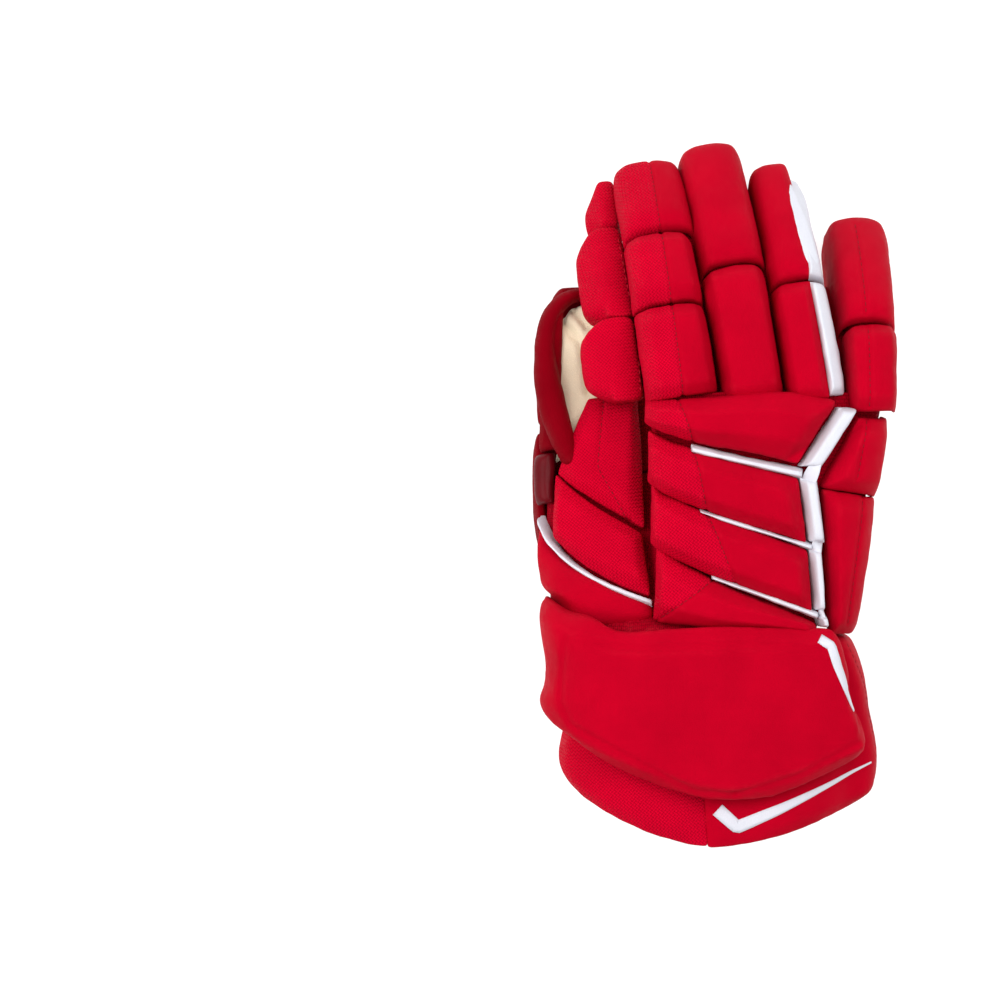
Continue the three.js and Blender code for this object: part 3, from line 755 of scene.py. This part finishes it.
def stitches(name, on, paths, thread, above=True, pitch=3.0 * MM, length=1.9 * MM, radius=0.32 * MM):
    """Thread stitches along paths of the plan, joined in one mesh."""
    tree = surfaces(on)
    bm = bmesh.new()
    for path in paths:
        line = resample(path, pitch)
        for a, b in zip(line, line[1:]):
            centre = (a + b) / 2
            ahead = (b - a).normalized()
            laid = [lay(tree, centre + ahead * length * k, radius * 0.4, above) for k, _ in STITCH_RINGS]
            if None in laid:
                continue
            rings = []
            for (place, normal), (_, size) in zip(laid, STITCH_RINGS):
                across = normal.cross(ahead).normalized()
                turns = [2 * math.pi * i / THREAD_SIDES for i in range(THREAD_SIDES)]
                ways = [across * math.cos(turn) + normal * math.sin(turn) for turn in turns]
                rings.append([bm.verts.new(place + radius * size * way) for way in ways])
            tube_faces(bm, rings)
    obj = object_of(name, bm)
    dress(obj, "white_panel" if thread is THREAD_WHITE else "red_smooth")
    obj.data.materials[0] = thread
    return obj


def slab(name, edges, slot, thickness, sag=0.35, lowest=0.0):
    """A soft sheet between two rails of points, closed with a thickness below it.

    The sag is a share of its width. Below nought it is a crown.
    """
    rows = []
    for left, right in zip(*edges):
        dip = Vector((0, 0, -(right - left).length * sag))
        rows.append([left.lerp(right, t) + dip * 4 * t * (1 - t) for t in (0.0, 0.25, 0.5, 0.75, 1.0)])
    down = Vector((0, 0, -thickness))
    bm = bmesh.new()
    tops = [[bm.verts.new(place) for place in row] for row in rows]
    bottoms = [[bm.verts.new(place + down) for place in row] for row in rows]
    for row in tops + bottoms:
        for vertex in row:
            vertex.co.z = max(vertex.co.z, lowest)
    sheet_faces(bm, tops, bottoms)
    obj = object_of(name, bm)
    subdivide(obj, 2)
    ruffle(obj, broad=0.4 * MM, fine=0.2 * MM)
    return dress(obj, slot)


# Knit gussets between neighbouring fingers: the line between them in the photograph, from the
# knuckles towards the tips, with how high the cloth lies there in mm, and its width.
GUSSETS = {
    "index_middle": [(716, 400, 58, 14), (710, 340, 57, 14), (702, 280, 51, 14), (694, 225, 42, 12)],
    "middle_ring": [(782, 398, 58, 12), (775, 340, 57, 12), (768, 280, 51, 12), (758, 225, 42, 10)],
    "ring_little": [(842, 398, 58, 12), (838, 350, 56, 12), (836, 310, 46, 10), (834, 285, 32, 8)],
}
GUSSET_THICKNESS = 6 * MM
# The cloth over the knuckles: where it runs across the photograph, and how far it lies above the hand.
KNUCKLES = range(650, 888, 6)
KNUCKLES_MIDDLE = 409
KNUCKLES_NEAR = spot(0, 411).y
KNUCKLES_FAR = spot(0, 397).y
KNUCKLES_LIFT = 0.2 * MM
KNUCKLES_THICKNESS = 1.2 * MM
# The cloth over the wrist, in pixels of the photograph, with its width in mm.
WRIST = [(px, 626) for px in range(556, 846, 8)]
WRIST_WIDTH = 18
WRIST_THICKNESS = 2 * MM

# The rolled border of the thumb: places and widths in pixels of the photograph, and the height of its
# top in mm.
ROLL = [
    (603, 299, 10, 25), (590, 293, 12, 27), (577, 293, 14, 30), (562, 300, 17, 32), (550, 317, 20, 34),
    (545, 341, 21, 36), (546, 366, 24, 38), (549, 390, 29, 40), (554, 413, 29, 42), (560, 432, 27, 44),
    (567, 452, 22, 46), (572, 470, 14, 46),
]
ROLL_DEPTH = 15 * MM      # from the roll's top to its underside
ROLL_SIDES = 16


def make_roll():
    """The rolled border round the thumb, a smooth padded tube of changing width."""
    turns = [2 * math.pi * i / ROLL_SIDES for i in range(ROLL_SIDES)]
    bm = bmesh.new()
    centres = [spot(px, py) + Vector((0, 0, top * MM - ROLL_DEPTH / 2)) for px, py, _, top in ROLL]
    rings = []
    for k, centre in enumerate(centres):
        ahead = (centres[min(k + 1, len(ROLL) - 1)] - centres[max(k - 1, 0)]).normalized()
        across = Vector((ahead.y, -ahead.x, 0)).normalized()
        half = ROLL[k][2] * PHOTO_MM * MM / 2
        ring = []
        for turn in turns:
            rise = Vector((0, 0, ROLL_DEPTH / 2 * math.sin(turn)))
            ring.append(bm.verts.new(centre + across * half * math.cos(turn) + rise))
        rings.append(ring)
    tube_faces(bm, rings)
    obj = object_of("thumb_roll", bm)
    subdivide(obj, 2)
    ruffle(obj, broad=0.4 * MM, fine=0.15 * MM)
    dress(obj, "red_smooth")
    # Painted shade: the roll and the thumb's border take the darker copy of the red cloth.
    obj.data.materials[0] = GUARD_CLOTH_PAINTED_SHADE
    pieces["thumb_border"].data.materials[0] = GUARD_CLOTH_PAINTED_SHADE


def make_gussets():
    """Knit between the fingers, over the knuckles and over the wrist."""
    for name, line in GUSSETS.items():
        left = []
        right = []
        for px, py, high, wide in line:
            middle = spot(px, py) + Vector((0, 0, high * MM))
            left.append(middle - Vector((wide * MM / 2, 0, 0)))
            right.append(middle + Vector((wide * MM / 2, 0, 0)))
        slab("gusset_" + name, (left, right), "red_knit", GUSSET_THICKNESS)
    # Between the rows and the finger pads.
    tree = surfaces(["hand_body"])
    near = []
    far = []
    for px in KNUCKLES:
        found = lay(tree, spot(px, KNUCKLES_MIDDLE), 0.0)
        if found:
            top = found[0].z + KNUCKLES_LIFT
            near.append(Vector((found[0].x, KNUCKLES_NEAR, top)))
            far.append(Vector((found[0].x, KNUCKLES_FAR, top)))
    slab("gusset_knuckles", (near, far), "red_knit", KNUCKLES_THICKNESS, sag=0.0)
    # Where the lining is sewn to the hand.
    across = spots(*WRIST)
    widths = [WRIST_WIDTH, WRIST_WIDTH]
    for name, above in (("wrist_cloth", True), ("wrist_cloth_palm", False)):
        ribbon(name, ["hand_body", "cuff_liner"], [across], widths, "red_knit", WRIST_THICKNESS, above)


# The white band beside a pad: how far it reaches in over the pad's edge, how deep it lies in the pad,
# how far its outer edge falls, its thickness, and its crown as a share of its width.
BAND_LAP = 2.5 * MM
BAND_SUNK = 0.3 * MM
BAND_FALL = 2 * MM
BAND_THICKNESS = 6 * MM
BAND_CROWN = 0.08


def band(name, on, edge, widths):
    """A white panel flush with a pad, outside the pad's edge. Widths are in pixels of the photograph."""
    tree = surfaces([on])
    left = []
    right = []
    for place, width in zip(edge, widths):
        inner, _ = lay(tree, place - Vector((BAND_LAP, 0, 0)), -BAND_SUNK)
        left.append(inner)
        right.append(inner + Vector((width * PHOTO_MM * MM + BAND_LAP, 0, -BAND_FALL)))
    slab(name, (left, right), "white_panel", BAND_THICKNESS, sag=-BAND_CROWN)


FACES_UP = 0.75           # how far a normal turns up on the top of a panel
END_DEPTH = 5 * MM        # how deep the end of a panel's top is
TAPE_THICKNESS = 2 * MM


def top_corners(node, far):
    """The two corners of a piece's top at its near or far end along the glove."""
    tops = [v.co for v in pieces[node].data.vertices if v.normal.z > FACES_UP]
    end = max(p.y for p in tops) if far else min(p.y for p in tops)
    row = [p for p in tops if abs(p.y - end) < END_DEPTH]
    return min(row, key=lambda p: p.x).copy(), max(row, key=lambda p: p.x).copy()


def bridge(first, second):
    """White tape over the joint between two white panels, from top to top."""
    a_left, a_right = top_corners(first, far=False)
    b_left, b_right = top_corners(second, far=True)
    edges = ([a_left, b_left], [a_right, b_right])
    slab(f"tape_{first}", edges, "white_panel", TAPE_THICKNESS, sag=0.0)


def cross(o, a, b):
    """Above nought where the turn from a to b round o is to the left."""
    return (a[0] - o[0]) * (b[1] - o[1]) - (a[1] - o[1]) * (b[0] - o[0])


def border(node, inset):
    """The outline of a piece on the plan, drawn in by an inset, as a closed path."""
    corners = sorted({(round(v.co.x, 5), round(v.co.y, 5)) for v in frame["nodes"][node].data.vertices})
    hull = []
    for order in (corners, corners[::-1]):
        side = []
        for point in order:
            while len(side) > 1 and cross(side[-2], side[-1], point) <= 0:
                side.pop()
            side.append(point)
        hull += side[:-1]
    ring = [Vector((x, y, 0)) for x, y in hull]
    middle = sum(ring, Vector()) / len(ring)
    drawn = [p + (middle - p).normalized() * inset for p in ring]
    return drawn + drawn[:1]


CRESCENT_ANGLES = [math.radians(degrees) for degrees in (20, 55, 90, 125, 160)]
CRESCENT_MARGIN = 6 * MM  # how far the crescents stay inside the piece's outline
ROW_SHARE = 0.6           # the distance between rows, as a share of that within a row


def crescents(node, spacing, radius):
    """Small arcs in staggered rows over a piece, on the plan."""
    edge = border(node, CRESCENT_MARGIN)
    xs = [p.x for p in edge]
    ys = [p.y for p in edge]
    arcs = []
    row = 0
    y = min(ys)
    while y < max(ys):
        x = min(xs) + (row % 2) * spacing / 2
        while x < max(xs):
            if all(cross(a, b, (x, y)) > 0 for a, b in zip(edge, edge[1:])):
                arc = [(x + radius * math.cos(t), y + radius * math.sin(t), 0) for t in CRESCENT_ANGLES]
                arcs.append([Vector(place) for place in arc])
            x += spacing
        y += spacing * ROW_SHARE
        row += 1
    return arcs


FINE_THREAD = 0.2 * MM    # the radius of the thread in seams


def make_trims():
    """Stripes, tapes and threads of the back, then those of the palm."""
    cuff_stripe = spots((811, 638), (822, 645), (828, 665), (845, 709))
    ribbon("cuff_stripe", ["cuff_main"], [cuff_stripe], [4.5, 4.5, 3, 0.8])
    flap_stripe = spots((713, 806), (732, 823), (775, 805), (868, 763))
    ribbon("flap_stripe", ["cuff_flap_little"], [flap_stripe], [7, 5.5, 2.8, 0.8])
    ring_edge = spots((784, 176), (788, 190), (796, 218), (802, 248), (806, 272))
    band("ring_tip_band", "ring_tip_pad", ring_edge, [8, 11, 13, 14, 14])
    index_rail = spots((620, 236), (624, 262), (630, 300))
    base_rail = spots((634, 322), (638, 360), (640, 396))
    sewn_to = ["index_side_mid", "index_side_base", "index_mid_pad", "index_stall"]
    stitches("gusset_thread", sewn_to, [index_rail, base_rail], THREAD_RED,
             pitch=4 * MM, length=2.2 * MM, radius=0.3 * MM)
    for row in (1, 2, 3):
        bridge(f"row_end_{row}", f"row_end_{row + 1}")
    for node, paths in GROOVES.items():
        if node not in ("thumb_sleeve", "cuff_main"):
            stitches("line_stitches_" + node, [node], paths, THREAD_DARK, radius=FINE_THREAD)
    for node, path in SEAMS.items():
        stitches("seam_stitches_" + node, [node], [path], THREAD_DARK, pitch=2.6 * MM, radius=FINE_THREAD)
    make_palm_trims()


# The caps under the fingertips: start and end of each on the plan in mm, and its width in mm.
CAPS = {
    "index": ((-27.5, 119), (-29.5, 163), 31),
    "middle": ((3.5, 127), (-2, 174), 31),
    "ring": ((38, 119), (34, 162), 27),
    "little": ((76, 93), (74, 136), 29),
}
CAP_THICKNESS = 1.2 * MM
CAP_LOWEST = 1 * MM       # how far a cap stays above the floor
CAP_SAG = 0.1
CAP_LIFT = 0.5 * MM       # how far a cap's edge lies off the pad
CAP_STEP = 3 * MM
CAP_SEAM_SHARE = 0.8      # how much of the cap's width is sewn to the leather
CAP_SEAM_IN = 3 * MM      # from the cap's start to that seam
# How far out the rim of a pad is looked for, in shares of half the cap's width.
RIM_SHARES = (1.0, 0.95, 0.9, 0.85, 0.8, 0.75, 0.7, 0.65)


def rim(tree, middle, reach):
    """The furthest point under a pad to one side of its middle, or nothing."""
    for share in RIM_SHARES:
        found = lay(tree, middle + reach * share, CAP_LIFT, above=False)
        if found:
            return found[0]
    return None


def make_caps():
    """Cloth that closes each fingertip underneath, from the leather to the rim of the tip's pad."""
    for finger, (start, end, width) in CAPS.items():
        a = Vector((*start, 0)) * MM
        b = Vector((*end, 0)) * MM
        ahead = (b - a).normalized()
        across = Vector((ahead.y, -ahead.x, 0)) * width * MM / 2
        tree = surfaces([finger + "_tip_pad", finger + "_stall", finger + "_palm"])
        left = []
        right = []
        for place in resample([a, b], CAP_STEP):
            sides = [rim(tree, place, across * way) for way in (-1, 1)]
            if None not in sides:
                left.append(sides[0])
                right.append(sides[1])
        cap = finger + "_cap"
        pieces[cap] = slab(
            cap, (left, right), "red_smooth", CAP_THICKNESS, sag=CAP_SAG, lowest=CAP_LOWEST
        )
        edge = [a + across * way * CAP_SEAM_SHARE + ahead * CAP_SEAM_IN for way in (-1, 1)]
        on = [cap, finger + "_palm", finger + "_stall"]
        stitches(cap + "_stitches", on, [edge], THREAD_WHITE, above=False)


def make_palm_trims():
    """Caps, grip, threads and stripes of the palm's side."""
    make_caps()
    arcs = crescents("palm_grip", spacing=9 * MM, radius=3 * MM)
    ribbon("grip_crescents", ["palm_grip"], arcs, [1, 1.3, 1],
           slot="grip_black", thickness=0.45 * MM, above=False, step=1.2 * MM)
    rounds = [border("palm_grip", inset * MM) for inset in (2.0, 4.2)]
    stitches("grip_stitches", ["palm_grip"], rounds, THREAD_RED, above=False)
    for finger in FINGERS:
        node = finger + "_palm"
        stitches(node + "_stitches", [node], [border(node, 2 * MM)], THREAD_WHITE, above=False)
    for name, node, inset in (("palm_stitches", "palm_leather", 2.5), ("label_stitches", "cuff_label", 1.5)):
        stitches(name, [node], [border(node, inset * MM)], THREAD_WHITE, above=False)
    guard_tip = spots((572, 300), (556, 350), (552, 425))
    guard_mid = spots((548, 450), (546, 520), (556, 590))
    guards = ["thumb_guard_tip", "thumb_guard_mid"]
    ribbon("guard_stripes", guards, [guard_tip, guard_mid], [5, 5.5, 5], above=False)
    ribbon("cuff_guard_stripe", ["thumb_cuff_guard"], [spots((598, 640), (588, 700))], [5, 4], above=False)
    vee = spots((586, 742), (612, 784), (690, 752))
    ribbon("cuff_palm_stripe", ["cuff_palm_thumb"], [vee], [3, 4, 3], above=False)


make_roll()
make_gussets()
make_trims()

# Floor, light and camera

FLOOR_SIZE = 6.0
FLOOR_GREY = 0.3
FLOOR_GLOW = 0.85         # the floor gives off light, so that the ground is white without shadows
SKY = 0.6                 # the strength of the even light from all round
# Each lamp with its place, the size of its square, and its power in watts. All point at the glove.
LAMPS = {
    "key": ((0.5, 0.5, 1.2), 0.9, 11),
    "fill": ((-0.9, 0.1, 1.0), 1.2, 13),
}


def make_stage():
    bpy.ops.mesh.primitive_plane_add(size=FLOOR_SIZE, location=(0, 0, 0))
    floor = bpy.context.object
    floor.name = "floor"
    g = Graph("floor")
    shader = g.node("ShaderNodeBsdfPrincipled", {
        "Base Color": (FLOOR_GREY, FLOOR_GREY, FLOOR_GREY, 1),
        "Roughness": 0.9,
        "Emission Color": (1, 1, 1, 1),
        "Emission Strength": FLOOR_GLOW,
    })
    g.node("ShaderNodeOutputMaterial", {"Surface": shader.outputs[0]})
    floor.data.materials.append(g.material)


def make_light(name, place, size, power):
    data = bpy.data.lights.new(name, "AREA")
    data.size = size
    data.energy = power
    lamp = bpy.data.objects.new(name, data)
    lamp.location = place
    lamp.rotation_euler = (-Vector(place)).to_track_quat("-Z", "Y").to_euler()
    bpy.context.collection.objects.link(lamp)


def make_lights():
    world = bpy.data.worlds.new("studio")
    world.use_nodes = True
    background = world.node_tree.nodes["Background"]
    background.inputs["Color"].default_value = (1, 1, 1, 1)
    background.inputs["Strength"].default_value = SKY
    bpy.context.scene.world = world
    for name, (place, size, power) in LAMPS.items():
        make_light(name, place, size, power)


def make_camera():
    """Straight above the middle of the photograph, at its scale at the height of the glove's outline."""
    lens = 100.0
    sensor = 36.0
    picture = 1000
    outline_height = 0.055
    lowered = 1.5 * MM
    data = bpy.data.cameras.new("camera")
    data.lens = lens
    data.sensor_width = sensor
    data.sensor_fit = "HORIZONTAL"
    distance = picture * PHOTO_MM * MM * lens / sensor
    camera = bpy.data.objects.new("camera", data)
    centre = spot(picture / 2, picture / 2)
    camera.location = (centre.x, centre.y - lowered, outline_height + distance)
    bpy.context.collection.objects.link(camera)
    bpy.context.scene.camera = camera


make_stage()
make_lights()
make_camera()
bpy.context.scene.view_settings.view_transform = "Standard"
